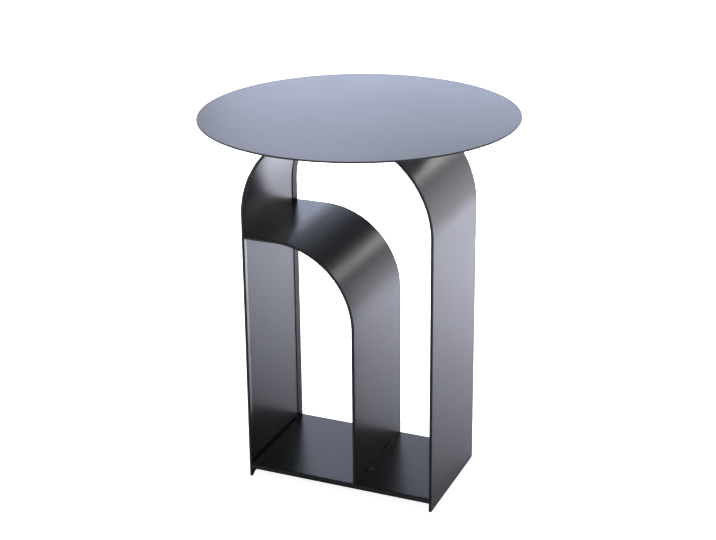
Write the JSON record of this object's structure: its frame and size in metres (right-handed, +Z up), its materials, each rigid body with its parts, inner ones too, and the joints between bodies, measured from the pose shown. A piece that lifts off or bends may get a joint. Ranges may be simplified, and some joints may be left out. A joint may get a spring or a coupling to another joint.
{
  "type": "round side table",
  "caption": "Sheet-steel side table: a thin round top on an arched stand, with a curved inner strip that makes a shelf and a flat base plate between the legs.",
  "frame": {"origin": "on the floor, under the middle of the round top", "axes": "+Z up, +X to the right, towards the open tall bay; the front faces -Y"},
  "size_m": [0.4499, 0.45, 0.55],
  "materials": {
    "black_coated_steel": "satin",
    "zinc_steel": "zinc plated",
    "black_screw_steel": "black oxide"
  },
  "bodies": {
    "root": {"tabletop": "black_coated_steel", "outer_arch": "black_coated_steel", "inner_arch": "black_coated_steel", "base_plate": "black_coated_steel", "tabletop_studs": "zinc_steel", "tabletop_washers": "zinc_steel", "tabletop_nuts": "zinc_steel", "left_leg_studs": "zinc_steel", "left_leg_nuts": "zinc_steel", "right_leg_studs": "zinc_steel", "right_leg_nuts": "zinc_steel", "foot_screws": "black_screw_steel", "foot_nuts": "zinc_steel"}
  },
  "joints": []
}
